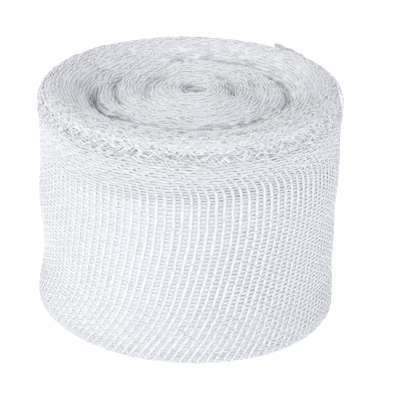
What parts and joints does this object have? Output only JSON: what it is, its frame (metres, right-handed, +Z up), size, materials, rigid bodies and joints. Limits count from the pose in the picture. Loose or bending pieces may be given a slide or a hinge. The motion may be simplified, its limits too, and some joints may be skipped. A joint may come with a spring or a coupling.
{
  "type": "gauze bandage roll",
  "caption": "Roll of open-woven white cotton gauze bandage standing on its end, with a dished spiral top and a loose end laid against the wall.",
  "frame": {"origin": "middle of the end that the roll stands on", "axes": "+Z up along the roll's winding axis, +Y towards the back of the pictured view"},
  "size_m": [0.0675, 0.069, 0.05],
  "materials": {
    "gauze": "matte open-woven bleached cotton",
    "gauze_end": "matte open-woven bleached cotton"
  },
  "bodies": {
    "root": {"gauze_roll": "gauze", "loose_end": "gauze_end"}
  },
  "joints": []
}
